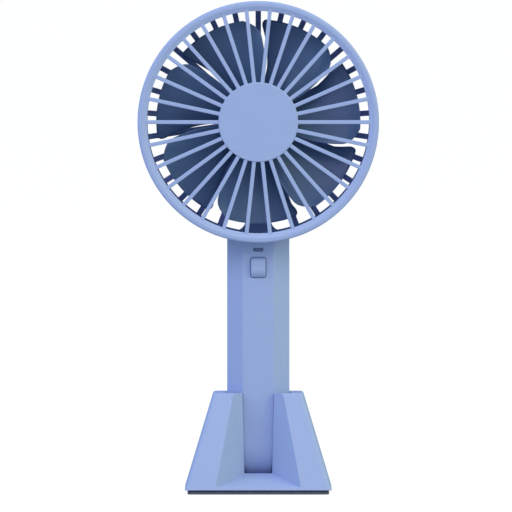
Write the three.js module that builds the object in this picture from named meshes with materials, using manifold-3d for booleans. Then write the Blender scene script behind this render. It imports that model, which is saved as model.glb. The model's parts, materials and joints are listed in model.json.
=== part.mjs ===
// A handheld electric fan standing in its desk base.
// Millimetres, +Z up. The origin is on the table under the middle of the base, and the front is -Y.
import * as THREE from "three";
import { ConvexGeometry } from "three/addons/geometries/ConvexGeometry.js";
import { mergeVertices } from "three/addons/utils/BufferGeometryUtils.js";
import Module from "manifold-3d";

const wasm = await Module();
wasm.setup();

// ---- driving dimensions ----
const GAP = 0.3; // air left between two pieces that rest on each other
const ROUND = 60; // facets round the head
const MOTOR_ROUND = 36; // facets round the motor
const SMALL_ROUND = 16; // facets round a small turned piece

const HEAD_Z = 154; // height of the head's axis
const HEAD_R = 50;
const OPENING_R = 46;
const DISC_R = 16.5;
const FRONT_Y = -22; // front plane of the grille's rim
const SEAM_Y = -10; // where the grille meets the housing
const REAR_Y = 12; // rear plane of the housing
const DRUM_R = 49.6;
const DRUM_WALL = 1.7;
const SPOKES = 30;
const SPOKE_WIDTH = 1.6;
const REAR_SPOKES = 27;
const REAR_SPOKE_WIDTH = 2.3;
const REAR_PITCH = 12.3; // degrees between two rear spokes
const RIB_HALF = 5.2; // half the width of the rib that carries the motor leads
const CUP_R = 16.5;
const CUP_RIM_Y = 2.5;
const CUP_BACK_Y = 13.2;

const HANDLE_HALF = 12.9;
const HANDLE_DEPTH = 13; // half the handle's depth
const HANDLE_CHAMFER = 6.45;
const HANDLE_WALL = 1.6;
const HANDLE_FOOT_Z = 7;
const FOOT_ROUND = [6.5, 12]; // how far in and how far up the handle's foot is rounded
const HANDLE_TOP_Z = 108;
const BUTTON_Z = 93.6;
const BUTTON_SIZE = [6.1, 8.3];
const BUTTON_TRAVEL = 0.5;
const LENS_Z = 101;
const LENS_SIZE = [4.1, 1.3];
const PORT_Z = 87;
const PORT_SIZE = [8.9, 3.2];
const NECK_SCREW_X = 5;
const NECK_SCREW_Z = 96.5;
const HANDLE_SCREW_Z = 11.8;
const PILOT_R = 1.2; // a hole that a screw's thread would bite into
const PASSAGE_R = 1.3; // a hole that a screw passes through

const BLADES = 7;
const BLADE_TIP_R = 42.5;
const HUB_R = 15.2;
const HUB_FRONT_Y = -16.5;
const SHAFT_R = 1;
const TEETH = 6;
const STATOR_R = 10.6;

const BASE_Z0 = 1.7; // underside of the base moulding, on top of the foot pad
const BASE_Z1 = 41.5;
const BASE_HALF = [30.5, 29]; // half the footprint along X and Y
const BASE_TOP_HALF = [18.6, 18.5];
const BASE_CORNER = 1.8;
const BASE_WALL = 2;
const SOCKET_CLEARANCE = 0.4;
const SOCKET_FLOOR_Z = HANDLE_FOOT_Z - GAP;
const SOCKET_WALL = 1.8;
const PLATE_TOP_Z = 4.5;
const PAD_TOP_Z = BASE_Z0 - GAP;
const BASE_SCREW_AT = [23, 21];
const BASE_POST_R = 2.6;

// ---- materials ----
const plastic = (color, roughness) => new THREE.MeshStandardMaterial({ color, roughness });
const metal = (color, roughness) => new THREE.MeshStandardMaterial({ color, roughness, metalness: 1 });
const body = plastic("#92a7db", 0.5);
const navy = plastic("#324361", 0.35);
const rubber = plastic("#44484e", 0.9);
const lens = plastic("#3b4a78", 0.2);
const black = plastic("#222326", 0.6);
const red = plastic("#b3312c", 0.5);
const board = plastic("#1f6b45", 0.5);
const wrap = plastic("#3f7fb5", 0.4);
const foam = plastic("#dcd9cf", 0.95);
const ferrite = plastic("#3a3a3c", 0.7);
const steel = metal("#b8bcc0", 0.35);
const iron = metal("#5a5c60", 0.6);
const copper = metal("#b5693a", 0.35);
const brass = metal("#c8a55a", 0.4);

// ---- solids ----
function solid(geometry) {
  const bare = geometry.clone();
  bare.deleteAttribute("normal");
  bare.deleteAttribute("uv");
  const merged = mergeVertices(bare, 1e-4);
  return new wasm.Manifold(
    new wasm.Mesh({
      numProp: 3,
      vertProperties: merged.attributes.position.array,
      triVerts: new Uint32Array(merged.index.array),
    }),
  );
}

function geometryOf(manifold) {
  const mesh = manifold.getMesh();
  const geometry = new THREE.BufferGeometry();
  geometry.setAttribute("position", new THREE.BufferAttribute(mesh.vertProperties, 3));
  geometry.setIndex(new THREE.BufferAttribute(mesh.triVerts, 1));
  return geometry;
}

const join = (first, ...others) => others.reduce((sum, other) => sum.add(other), first);
const cut = (first, ...others) => others.reduce((rest, other) => rest.subtract(other), first);
const radians = THREE.MathUtils.degToRad;

// A box from its lowest to its highest corner.
function block([x0, y0, z0], [x1, y1, z1]) {
  const box = new THREE.BoxGeometry(x1 - x0, y1 - y0, z1 - z0);
  return box.translate((x0 + x1) / 2, (y0 + y1) / 2, (z0 + z1) / 2);
}

// A piece turned about the Y axis from an outline of [radius, y] points.
// The outline starts and ends on the axis, or is a ring's closed section.
function turned(outline, facets = ROUND) {
  const area = outline.reduce((sum, [r, y], i) => {
    const [nextR, nextY] = outline[(i + 1) % outline.length];
    return sum + r * nextY - nextR * y;
  }, 0);
  const points = outline.map(([r, y]) => new THREE.Vector2(r, y));
  if (area < 0) points.reverse();
  if (Math.min(...outline.map(([r]) => r)) > 0) points.push(points[0].clone());
  return new THREE.LatheGeometry(points, facets);
}

const ring = (r0, r1, y0, y1, facets) => turned([[r0, y0], [r1, y0], [r1, y1], [r0, y1]], facets);
const rod = (r, y0, y1, facets = SMALL_ROUND) => turned([[0, y0], [r, y0], [r, y1], [0, y1]], facets);
const rodAt = (r, y0, y1, x, z, facets) => rod(r, y0, y1, facets).translate(x, 0, z);
const upright = (r, z0, z1, x, y) => rod(r, z0, z1).rotateX(Math.PI / 2).translate(x, y, 0);

// A flat outline in X and Z given a thickness from y0 back to y1.
function slab(shape, y0, y1, curveSegments = 3) {
  const geometry = new THREE.ExtrudeGeometry(shape, { depth: y1 - y0, bevelEnabled: false, curveSegments });
  return geometry.rotateX(Math.PI / 2).translate(0, y1, 0);
}

// An outline in Y and Z given a thickness from -half to half along X.
function sideSlab(shape, half) {
  const geometry = new THREE.ExtrudeGeometry(shape, { depth: 2 * half, bevelEnabled: false });
  return geometry.rotateX(Math.PI / 2).rotateZ(Math.PI / 2).translate(-half, 0, 0);
}

// An outline in X and Y raised from z0 to z1.
function column(shape, z0, z1, curveSegments = 3) {
  const geometry = new THREE.ExtrudeGeometry(shape, { depth: z1 - z0, bevelEnabled: false, curveSegments });
  return geometry.translate(0, 0, z0);
}

function polygon(points) {
  return new THREE.Shape(points.map(([x, y]) => new THREE.Vector2(x, y)));
}

function roundedRect(width, height, radius, [cx, cy] = [0, 0]) {
  const x = width / 2 - radius;
  const y = height / 2 - radius;
  const shape = new THREE.Shape();
  shape.absarc(cx + x, cy + y, radius, 0, Math.PI / 2);
  shape.absarc(cx - x, cy + y, radius, Math.PI / 2, Math.PI);
  shape.absarc(cx - x, cy - y, radius, Math.PI, 1.5 * Math.PI);
  shape.absarc(cx + x, cy - y, radius, 1.5 * Math.PI, 2 * Math.PI);
  return shape;
}

// The handle's eight-sided section, grown or shrunk by an offset.
function handleSection(offset) {
  const x = HANDLE_HALF + offset;
  const y = HANDLE_DEPTH + offset;
  const chamfer = HANDLE_CHAMFER + offset * (2 - Math.SQRT2);
  return polygon([
    [x - chamfer, -y], [x, chamfer - y], [x, y - chamfer], [x - chamfer, y],
    [chamfer - x, y], [-x, y - chamfer], [-x, chamfer - y], [chamfer - x, -y],
  ]);
}

// The handle's column from a height up, grown or shrunk by an offset. Its foot is rounded.
function handleColumn(offset, footZ, topZ) {
  const steps = 5;
  const [inwards, upwards] = FOOT_ROUND.map((size) => size + offset);
  const points = [];
  for (let k = 0; k <= steps + 1; k++) {
    const angle = (Math.min(k, steps) / steps) * (Math.PI / 2);
    const section = handleSection(offset - inwards * (1 - Math.sin(angle)));
    const z = k > steps ? topZ : footZ + upwards * (1 - Math.cos(angle));
    section.getPoints().forEach((point) => points.push(new THREE.Vector3(point.x, point.y, z)));
  }
  return solid(new ConvexGeometry(points));
}

// An insulated wire along a smooth curve through its points.
function wire(points, radius = 0.55) {
  const path = new THREE.CatmullRomCurve3(points.map((point) => new THREE.Vector3(...point)));
  const section = new THREE.Shape().absarc(0, 0, radius, 0, 2 * Math.PI);
  const steps = Math.round(path.getLength() / (8 * radius));
  const options = { steps, extrudePath: path, bevelEnabled: false, curveSegments: 4 };
  return new THREE.ExtrudeGeometry(section, options);
}

// A pan-head screw along Y: its head starts at y = 0 and its shank runs to y = -length.
function screwShape(headR, headHeight, shankR, length) {
  return turned(
    [
      [0, 0], [headR * 0.8, 0], [headR, -0.3 * headHeight], [headR, -headHeight],
      [shankR, -headHeight], [shankR, -length + shankR / 2], [shankR / 2, -length], [0, -length],
    ],
    12,
  );
}

// ---- assembly ----
const fan = new THREE.Group();
const head = new THREE.Group();
head.position.z = HEAD_Z;
const base = new THREE.Group();
const assembly = new THREE.Group();
assembly.add(base, fan);
fan.add(head);

function place(group, name, shape, material) {
  const mesh = new THREE.Mesh(shape.isBufferGeometry ? shape : geometryOf(shape), material);
  mesh.name = name;
  group.add(mesh);
  return mesh;
}

// ---- head: front grille, with its axis along Y and its centre at the group's origin ----
const SPOKE_FRONT_Y = FRONT_Y + 0.5;
const SPOKE_BACK_Y = FRONT_Y + 2.7;

// A flat spoke from one radius to another at an angle counted from +X towards +Z.
function spoke(angle, width, [r0, r1], [y0, y1]) {
  return block([r0, y0, -width / 2], [r1, y1, width / 2]).rotateY(-radians(angle));
}

function frontGrille() {
  const rim = turned([
    [OPENING_R, FRONT_Y + 0.8], [OPENING_R + 2.1, FRONT_Y], [HEAD_R - 0.8, FRONT_Y],
    [HEAD_R, FRONT_Y + 0.8], [HEAD_R, SEAM_Y - GAP / 2],
    [OPENING_R + 1.6, SEAM_Y - GAP / 2], [OPENING_R + 1.6, SEAM_Y + 3], [OPENING_R + 0.6, SEAM_Y + 3],
    [OPENING_R + 0.6, SPOKE_BACK_Y], [OPENING_R, SPOKE_BACK_Y],
  ]);
  const disc = turned([
    [0, FRONT_Y + 0.2], [DISC_R - 0.4, FRONT_Y + 0.2], [DISC_R, FRONT_Y + 0.6], [DISC_R, SPOKE_BACK_Y],
    [DISC_R - 1.4, SPOKE_BACK_Y], [DISC_R - 1.4, FRONT_Y + 1.9], [0, FRONT_Y + 1.9],
  ], SPOKES);
  const reach = [DISC_R - 1, OPENING_R + 0.8];
  const spokes = Array.from({ length: SPOKES }, (_, i) =>
    solid(spoke((i * 360) / SPOKES, SPOKE_WIDTH, reach, [SPOKE_FRONT_Y, SPOKE_BACK_Y])),
  );
  return join(solid(rim), solid(disc), ...spokes);
}

place(head, "front_grille", frontGrille(), body);

// ---- head: drum-shaped housing with the rear grille, motor cup and neck tongue ----
const REAR_SPOKE_Y = [REAR_Y - 2.4, REAR_Y];
const RIB_FRONT_Y = 5.5;
const CHANNEL_HALF = 2.3;
const CHANNEL_Y = [6.4, 9.5]; // the tunnel in the rib that the motor leads run down
const CHANNEL_MOUTH_Z = -21.5;
const TONGUE_BACK_Y = HANDLE_DEPTH - HANDLE_WALL - GAP;
const TONGUE_Y = [TONGUE_BACK_Y - 2.4, TONGUE_BACK_Y];
const TONGUE_FOOT_Z = 92 - HEAD_Z;
const TONGUE_HALF = 8;
const FLANGE_Y = [4.2, 5.7]; // the motor base's flange, which the bosses hold
const MOTOR_SCREW_R = 9.5;
const MOTOR_BOSS_R = 2.3;
const motorScrewAngles = [30, 150, 270 + 22];

// The wide rib under the motor, flaring into the drum with a hollow fillet on each side.
function ribOutline() {
  const bottom = -OPENING_R - 1;
  const shape = new THREE.Shape();
  shape.moveTo(-RIB_HALF, -CUP_R + 1.5);
  shape.lineTo(-RIB_HALF, bottom + 5.5);
  shape.quadraticCurveTo(-RIB_HALF, bottom + 1.6, -RIB_HALF - 4.6, bottom + 1.4);
  shape.lineTo(-RIB_HALF - 4.6, bottom);
  shape.lineTo(RIB_HALF + 4.6, bottom);
  shape.lineTo(RIB_HALF + 4.6, bottom + 1.4);
  shape.quadraticCurveTo(RIB_HALF, bottom + 1.6, RIB_HALF, bottom + 5.5);
  shape.lineTo(RIB_HALF, -CUP_R + 1.5);
  return shape;
}

function aroundAxis(angle, radius) {
  return [radius * Math.cos(radians(angle)), radius * Math.sin(radians(angle))];
}

function headHousing() {
  const inner = DRUM_R - DRUM_WALL;
  const drum = turned([
    [inner, SEAM_Y + GAP / 2], [DRUM_R, SEAM_Y + GAP / 2], [DRUM_R, REAR_Y - 2.8],
    [DRUM_R - 0.6, REAR_Y - 0.9], [DRUM_R - 2, REAR_Y], [OPENING_R, REAR_Y],
    [OPENING_R, REAR_Y - 2.6], [inner, REAR_Y - 4],
  ]);
  const cup = turned([
    [0, CUP_BACK_Y], [CUP_R - 1.4, CUP_BACK_Y], [CUP_R, CUP_BACK_Y - 1.6], [CUP_R, CUP_RIM_Y],
    [CUP_R - 1.6, CUP_RIM_Y], [CUP_R - 1.6, CUP_BACK_Y - 1.6], [0, CUP_BACK_Y - 1.6],
  ], MOTOR_ROUND);
  const spokes = Array.from({ length: REAR_SPOKES }, (_, i) => {
    const angle = 90 + (i - (REAR_SPOKES - 1) / 2) * REAR_PITCH;
    return solid(spoke(angle, REAR_SPOKE_WIDTH, [CUP_R - 0.8, OPENING_R + 1], REAR_SPOKE_Y));
  });
  const rib = solid(slab(ribOutline(), RIB_FRONT_Y, REAR_Y));
  const insideHandle = solid(column(handleSection(-HANDLE_WALL - GAP), TONGUE_FOOT_Z, 1 - DRUM_R));
  const tongueBlock = block([-TONGUE_HALF, TONGUE_Y[0], TONGUE_FOOT_Z], [TONGUE_HALF, TONGUE_Y[1], 0]);
  const tongue = insideHandle.intersect(solid(tongueBlock));
  const bosses = motorScrewAngles.map((angle) =>
    solid(rodAt(MOTOR_BOSS_R, FLANGE_Y[1] + GAP, CUP_BACK_Y - 1, ...aroundAxis(angle, MOTOR_SCREW_R))),
  );
  const channelTop = [CHANNEL_HALF, CHANNEL_Y[1], -CUP_R + 3];
  const channel = solid(block([-CHANNEL_HALF, CHANNEL_Y[0], -DRUM_R - 1], channelTop));
  const cupNotch = solid(block([-CHANNEL_HALF, CUP_RIM_Y - 1, CHANNEL_MOUTH_Z], channelTop));
  const motorPilots = motorScrewAngles.map((angle) =>
    solid(rodAt(PILOT_R, FLANGE_Y[1] - 1, CUP_BACK_Y - 2, ...aroundAxis(angle, MOTOR_SCREW_R))),
  );
  const neckPilots = [-1, 1].map((side) => {
    const at = [side * NECK_SCREW_X, NECK_SCREW_Z - HEAD_Z];
    return solid(rodAt(PASSAGE_R, TONGUE_Y[0] - 1, TONGUE_Y[1] + 1, ...at));
  });
  return cut(
    join(solid(drum), solid(cup), rib, tongue, ...spokes, ...bosses),
    channel,
    cupNotch,
    ...motorPilots,
    ...neckPilots,
  );
}

place(head, "head_housing", headHousing(), body);

// ---- motor: fixed pieces ----
const FLANGE_R = 13;
const TUBE_R = [2.6, 3.3];
const TUBE_FRONT_Y = -11;
const STACK_Y = [-9.5, -4.5];
const TOOTH_WIDTH = 2.6;
const POLE_HALF_ANGLE = 23;
const POLE_THICKNESS = 1.2;
const COIL_WIDTH = 4.8;
const COIL_OVERHANG = 1.3;

function motorBase() {
  const [tubeInside, tubeOutside] = TUBE_R;
  const carrier = turned([
    [tubeInside, TUBE_FRONT_Y], [tubeOutside, TUBE_FRONT_Y], [tubeOutside, FLANGE_Y[0]],
    [FLANGE_R, FLANGE_Y[0]], [FLANGE_R, FLANGE_Y[1]], [tubeInside, FLANGE_Y[1]],
  ], MOTOR_ROUND);
  const holes = motorScrewAngles.map((angle) =>
    solid(rodAt(PASSAGE_R, FLANGE_Y[0] - 1, FLANGE_Y[1] + 1, ...aroundAxis(angle, MOTOR_SCREW_R))),
  );
  return cut(solid(carrier), ...holes);
}

// The pole piece at a tooth's outer end.
function poleTip() {
  const half = radians(POLE_HALF_ANGLE);
  const shape = new THREE.Shape();
  shape.absarc(0, 0, STATOR_R, -half, half);
  shape.absarc(0, 0, STATOR_R - POLE_THICKNESS, half, -half, true);
  return slab(shape, ...STACK_Y);
}

function statorCore() {
  const hub = ring(TUBE_R[1] + 0.2, 5.2, ...STACK_Y, SMALL_ROUND);
  const teeth = Array.from({ length: TEETH }, (_, i) => {
    const angle = (i * 360) / TEETH;
    const tooth = solid(spoke(angle, TOOTH_WIDTH, [5, STATOR_R - 0.6], STACK_Y));
    return tooth.add(solid(poleTip().rotateY(-radians(angle))));
  });
  return join(solid(hub), ...teeth);
}

function coil(angle) {
  const around = (margin) => [STACK_Y[0] - margin, STACK_Y[1] + margin];
  const outside = solid(spoke(angle, COIL_WIDTH, [5.5, 9], around(COIL_OVERHANG)));
  const inside = solid(spoke(angle, TOOTH_WIDTH + 0.5, [5, 9.5], around(GAP)));
  return outside.subtract(inside);
}

place(head, "motor_base", motorBase(), brass);
place(head, "stator_core", statorCore(), iron);
for (let i = 0; i < TEETH; i++) place(head, `stator_coil_${i + 1}`, coil((i * 360) / TEETH), copper);
place(head, "motor_board", ring(TUBE_R[1] + 0.6, 11.8, 1.2, 2.2, MOTOR_ROUND), board);
const BEARING_BORE_R = SHAFT_R + 0.06;
place(head, "front_bearing", ring(BEARING_BORE_R, 2.4, -10.8, -8.2, SMALL_ROUND), steel);
place(head, "rear_bearing", ring(BEARING_BORE_R, 2.4, 2.9, 5.5, SMALL_ROUND), steel);
motorScrewAngles.forEach((angle, i) => {
  const screw = screwShape(2, 0.9, 0.9, 5.5).rotateX(Math.PI);
  const [x, z] = aroundAxis(angle, MOTOR_SCREW_R);
  place(head, `motor_screw_${i + 1}`, screw, steel).position.set(x, FLANGE_Y[0] - GAP / 2 - 0.9, z);
});

// ---- rotor: everything that turns on the shaft ----
// Each blade sweeps back from its front edge, which is cut away in a wide curve towards the tip.
const BLADE_FRONT_Y = -14.3;
const BLADE_REAR_Y = -2.6;
const BLADE_THICKNESS = 1.2;
const TIP_ROUND = 3.6; // how far in from the tip the rear corner's round starts
const BLADE_ROOT_R = HUB_R - 0.6;
const BLADE_PITCH = 360 / BLADES;

// The angle of the gap between two blades, which leans over as the radius grows.
function gapAngle(r) {
  return 30 + 8.8 * Math.max(0, (r - 20) / (BLADE_TIP_R - 20)) ** 1.4;
}

function blade(index) {
  const geometry = new THREE.BoxGeometry(1, 1, 1, 6, 7, 1);
  const position = geometry.attributes.position;
  for (let i = 0; i < position.count; i++) {
    const along = position.getX(i) + 0.5;
    const outward = 1 - (0.5 - position.getY(i)) ** 1.6;
    const r = THREE.MathUtils.lerp(BLADE_ROOT_R, BLADE_TIP_R, outward);
    const frontTrim = 1.1 + 8 * Math.max(0, (r - 36) / 6.5) ** 2.2;
    const tip = Math.max(0, 1 - (BLADE_TIP_R - r) / TIP_ROUND);
    const rearTrim = 1 + 4.6 * (1 - Math.sqrt(1 - tip ** 2));
    const start = gapAngle(r) + frontTrim;
    const end = gapAngle(r) + BLADE_PITCH - rearTrim;
    const angle = radians(start + along * (end - start) + index * BLADE_PITCH);
    const y = THREE.MathUtils.lerp(BLADE_FRONT_Y, BLADE_REAR_Y, along) + position.getZ(i) * BLADE_THICKNESS;
    position.setXYZ(i, r * Math.cos(angle), y, r * Math.sin(angle));
  }
  return geometry;
}

function impeller() {
  const hub = turned([
    [0, HUB_FRONT_Y], [HUB_R - 1.4, HUB_FRONT_Y], [HUB_R, HUB_FRONT_Y + 1.2], [HUB_R, 0], [HUB_R - 1.2, 0],
    [HUB_R - 1.2, HUB_FRONT_Y + 1.5], [2.6, HUB_FRONT_Y + 1.5], [2.6, HUB_FRONT_Y + 4.5],
    [SHAFT_R + 0.1, HUB_FRONT_Y + 4.5], [SHAFT_R + 0.1, HUB_FRONT_Y + 1.1], [0, HUB_FRONT_Y + 1.1],
  ], MOTOR_ROUND);
  const blades = Array.from({ length: BLADES }, (_, i) => solid(blade(i)));
  return join(solid(hub), ...blades);
}

function retainingClip() {
  const shape = new THREE.Shape();
  shape.absarc(0, 0, 2.3, radians(35), radians(325));
  shape.absarc(0, 0, SHAFT_R + 0.15, radians(325), radians(35), true);
  return slab(shape, 6, 6.4, 8);
}

place(head, "impeller", impeller(), navy);
place(
  head,
  "rotor_yoke",
  turned([[2.9, -14.7], [13.7, -14.7], [13.7, -1], [12.9, -1], [12.9, -13.9], [2.9, -13.9]], MOTOR_ROUND),
  steel,
);
place(head, "magnet_ring", ring(11.1, 12.6, -12.8, -2, MOTOR_ROUND), ferrite);
place(head, "motor_shaft", rod(SHAFT_R, HUB_FRONT_Y + 1.4, 6.7), steel);
place(head, "retaining_clip", retainingClip(), steel);

// ---- motor leads, from the motor board down the rib into the handle ----
const LEAD_X = 1.1;
for (const [name, side, material] of [["motor_lead_red", -1, red], ["motor_lead_black", 1, black]]) {
  const x = side * LEAD_X;
  const route = [
    [x, 2.9, -8.5], [x, 3.3, -12], [x, 4.8, -15.6], [x, 7.2, -19], [x, 8, -24], [x, 8, -36],
    [x, 8, -46], [x, 7.4, -50.5], [x, 5.6, -53.5],
  ];
  place(head, name, wire(route), material);
}

// ---- handle shells ----
const handleSpace = handleColumn(-HANDLE_WALL, HANDLE_FOOT_Z + HANDLE_WALL, HEAD_Z);
const headClearance = join(
  solid(rodAt(HEAD_R + GAP, FRONT_Y, SEAM_Y + GAP / 2, 0, HEAD_Z, ROUND)),
  solid(rodAt(DRUM_R + GAP, SEAM_Y, REAR_Y + 5, 0, HEAD_Z, ROUND)),
);
const SCREW_BOSS_R = 2.4;

// Two distances from the middle plane as a range of y: side -1 is in front of it and 1 is behind it.
function outward(side, near, far) {
  return side < 0 ? [-far, -near] : [near, far];
}

// One half of the handle: side -1 is the front shell and 1 is the rear one.
function handleShell(side) {
  const half = outward(side, GAP / 2, HANDLE_DEPTH + 1);
  const outside = handleColumn(0, HANDLE_FOOT_Z, HANDLE_TOP_Z);
  const keep = solid(block([-HANDLE_HALF - 1, half[0], 0], [HANDLE_HALF + 1, half[1], HANDLE_TOP_Z + 1]));
  const boss = solid(rodAt(SCREW_BOSS_R, ...outward(side, GAP, HANDLE_DEPTH), 0, HANDLE_SCREW_Z));
  return cut(outside, handleSpace, headClearance).intersect(keep).add(boss.intersect(outside));
}

// The rear shell's lip, which laps inside the front shell's side walls along the seam. With some air round
// it, it is the step that the front shell's walls have for it.
const LIP_WALL = 0.7;
const LIP_DEPTH = 1.5;
const LIP_FOOT_Z = 30;

function seamLip(air) {
  const inner = HANDLE_HALF - HANDLE_WALL;
  const sides = [-1, 1].map((side) => {
    const x = [side * (inner - air), side * (inner + LIP_WALL + air)].sort((a, b) => a - b);
    return solid(block([x[0], -LIP_DEPTH - air, LIP_FOOT_Z - air], [x[1], 2 * GAP, HANDLE_TOP_Z]));
  });
  return cut(join(...sides), headClearance);
}

// A hole through the handle's front wall (side -1) or rear wall (side 1), a little wider all round
// than the piece of that size that sits in it.
function wallHole([width, height], clearance, corner, z, side) {
  const shape = roundedRect(width + 2 * clearance, height + 2 * clearance, corner, [0, z]);
  return solid(slab(shape, ...outward(side, HANDLE_DEPTH - HANDLE_WALL - 1, HANDLE_DEPTH + 1)));
}

const buttonHole = wallHole(BUTTON_SIZE, GAP, 1.2, BUTTON_Z, -1);
const lensHole = wallHole(LENS_SIZE, 0.25, 0.88, LENS_Z, -1);
const handlePilot = solid(rodAt(PILOT_R, -9, 1, 0, HANDLE_SCREW_Z));
place(fan, "handle_front", cut(handleShell(-1), seamLip(GAP), buttonHole, lensHole, handlePilot), body);

const HANDLE_SCREW_HEAD_Y = 10;
const portHole = wallHole(PORT_SIZE, 0.35, 1.94, PORT_Z, 1);
const sinkWall = solid(rodAt(3.4, HANDLE_SCREW_HEAD_Y - 3, HANDLE_DEPTH, 0, HANDLE_SCREW_Z));
const screwSink = join(
  solid(rodAt(2.3, HANDLE_SCREW_HEAD_Y - 1.5, HANDLE_DEPTH + 1, 0, HANDLE_SCREW_Z)),
  solid(rodAt(PASSAGE_R, 0, HANDLE_SCREW_HEAD_Y - 1, 0, HANDLE_SCREW_Z)),
);
const neckSinks = [-1, 1].map((side) => {
  const at = [side * NECK_SCREW_X, NECK_SCREW_Z];
  const headRoom = solid(rodAt(2.1, HANDLE_DEPTH - 1, HANDLE_DEPTH + 1, ...at));
  return headRoom.add(solid(rodAt(PASSAGE_R, TONGUE_Y[1], HANDLE_DEPTH, ...at)));
});
const rearShell = join(
  handleShell(1), seamLip(0), sinkWall.intersect(handleColumn(0, HANDLE_FOOT_Z, HANDLE_TOP_Z)),
);
place(fan, "handle_rear", cut(rearShell, portHole, screwSink, ...neckSinks), body);

[["neck_screw_left", -1], ["neck_screw_right", 1]].forEach(([name, side]) => {
  const screw = place(fan, name, screwShape(1.8, 0.7, 1, 4), steel);
  screw.position.set(side * NECK_SCREW_X, HANDLE_DEPTH - 0.1, NECK_SCREW_Z);
});
const handleScrew = place(fan, "handle_screw", screwShape(2, 1.2, 1, 13), steel);
handleScrew.position.set(0, HANDLE_SCREW_HEAD_Y, HANDLE_SCREW_Z);

// ---- cell and its leads ----
const CELL_R = 9.2;
const CELL_Z = [15.6, 80.6];

function cell() {
  const [z0, z1] = CELL_Z;
  const can = turned([
    [0, z0], [CELL_R - 0.8, z0], [CELL_R, z0 + 0.8], [CELL_R, z1 - 1.6], [CELL_R - 0.8, z1 - 0.8],
    [4, z1 - 0.8], [4, z1], [0, z1],
  ], 36);
  return can.rotateX(-Math.PI / 2).scale(1, -1, -1);
}

place(fan, "battery_cell", cell(), wrap);
place(fan, "top_tab", block([-7, -2, CELL_Z[1] + GAP], [3.5, 2, CELL_Z[1] + 2 * GAP]), steel);
place(fan, "bottom_tab", block([-3.5, -2, CELL_Z[0] - 2 * GAP], [7, 2, CELL_Z[0] - GAP]), steel);
place(fan, "cell_pad", block([-4, CELL_R + GAP, 30], [4, HANDLE_DEPTH - HANDLE_WALL - GAP, 70]), foam);

const redLeadRoute = [[-5, 0, 82.1], [-6.8, 0.2, 83.4], [-8.2, 1.4, 86], [-8.4, 2.2, 89]];
const blackLeadRoute = [
  [5.4, 0, 14], [9, 0, 14.2], [10.3, 0, 17.5], [10.3, 0, 40], [10.3, 0, 62], [10.3, 0, 80], [9.6, 0.7, 85],
  [8.6, 2.2, 89],
];
place(fan, "cell_lead_red", wire(redLeadRoute), red);
place(fan, "cell_lead_black", wire(blackLeadRoute), black);

// ---- control board and what is on it ----
const BOARD_Y = [3.2, 4.4];
place(fan, "control_board", block([-9.5, BOARD_Y[0], 82.6], [9.5, BOARD_Y[1], 102.6]), board);
place(fan, "boost_inductor", block([-2.6, -0.3, 84.4], [2.6, BOARD_Y[0] - GAP, 89.4]), ferrite);
place(fan, "indicator_led", block([-1.1, 1.9, LENS_Z - 0.7], [1.1, BOARD_Y[0] - GAP, LENS_Z + 0.7]), foam);

const SWITCH_FRONT_Y = -0.6;
const switchCase = solid(block([-3, SWITCH_FRONT_Y, BUTTON_Z - 3], [3, BOARD_Y[0] - GAP, BUTTON_Z + 3]));
const plungerHole = solid(rodAt(1.9, SWITCH_FRONT_Y - 1, 1.1, 0, BUTTON_Z));
place(fan, "switch_body", switchCase.subtract(plungerHole), black);

function chargingPort() {
  const [width, height] = PORT_SIZE;
  const outside = solid(slab(roundedRect(width, height, 1.58), BOARD_Y[1] + GAP, HANDLE_DEPTH - 0.3));
  const mouth = solid(slab(roundedRect(width - 0.7, height - 0.7, 1.24), BOARD_Y[1] + 1.6, HANDLE_DEPTH));
  const tongue = solid(block([-3.3, BOARD_Y[1] + 1, -0.35], [3.3, HANDLE_DEPTH - 1.2, 0.35]));
  return outside.subtract(mouth).add(tongue);
}

place(fan, "charging_port", chargingPort(), steel).position.z = PORT_Z;

function lightPipe() {
  const window = solid(slab(roundedRect(...LENS_SIZE, 0.64), -HANDLE_DEPTH, -10));
  return window.add(solid(rod(0.6, -10.4, 1.6, 12)));
}

place(fan, "light_pipe", lightPipe(), lens).position.z = LENS_Z;

// ---- button: the cap outside and the switch's plunger behind it ----
// The cap is a wedge: nearly flush at the top, it stands out more and more downwards and then rounds off.
const BUTTON_RISE = 1.6;
const CAP_BACK_Y = -11;
const FLANGE_MARGIN = 0.9;

function buttonSide() {
  const half = BUTTON_SIZE[1] / 2;
  const front = (rise) => -HANDLE_DEPTH - rise * BUTTON_RISE;
  return polygon([
    [CAP_BACK_Y, -half], [front(0.15), -half], [front(0.6), -half + 0.5], [front(0.9), -half + 1.4],
    [front(1), -half + 2.6], [front(0.65), half - 1.2], [front(0.1), half], [CAP_BACK_Y, half],
  ]);
}

function buttonCap() {
  const [width, height] = BUTTON_SIZE;
  const straight = solid(slab(roundedRect(width, height, 0.9), -HANDLE_DEPTH - BUTTON_RISE, CAP_BACK_Y));
  const cap = straight.intersect(solid(sideSlab(buttonSide(), width)));
  const flangeShape = roundedRect(width + 2 * FLANGE_MARGIN, height + 2 * FLANGE_MARGIN, 1.8);
  const flange = solid(slab(flangeShape, CAP_BACK_Y - 0.1, CAP_BACK_Y + 0.8));
  return join(cap, flange, solid(rod(1.5, CAP_BACK_Y + 0.6, -2.3)));
}

place(fan, "button_cap", buttonCap(), body).position.z = BUTTON_Z;
place(fan, "switch_plunger", rod(1.6, -2, 1.1 - BUTTON_TRAVEL - 0.2), black).position.z = BUTTON_Z;

// ---- desk base ----
// Half the base's width (axis 0) or depth (axis 1) at a height.
function baseHalf(axis, z) {
  const rise = (z - BASE_Z0) / (BASE_Z1 - BASE_Z0);
  return THREE.MathUtils.lerp(BASE_HALF[axis], BASE_TOP_HALF[axis], rise);
}

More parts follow.
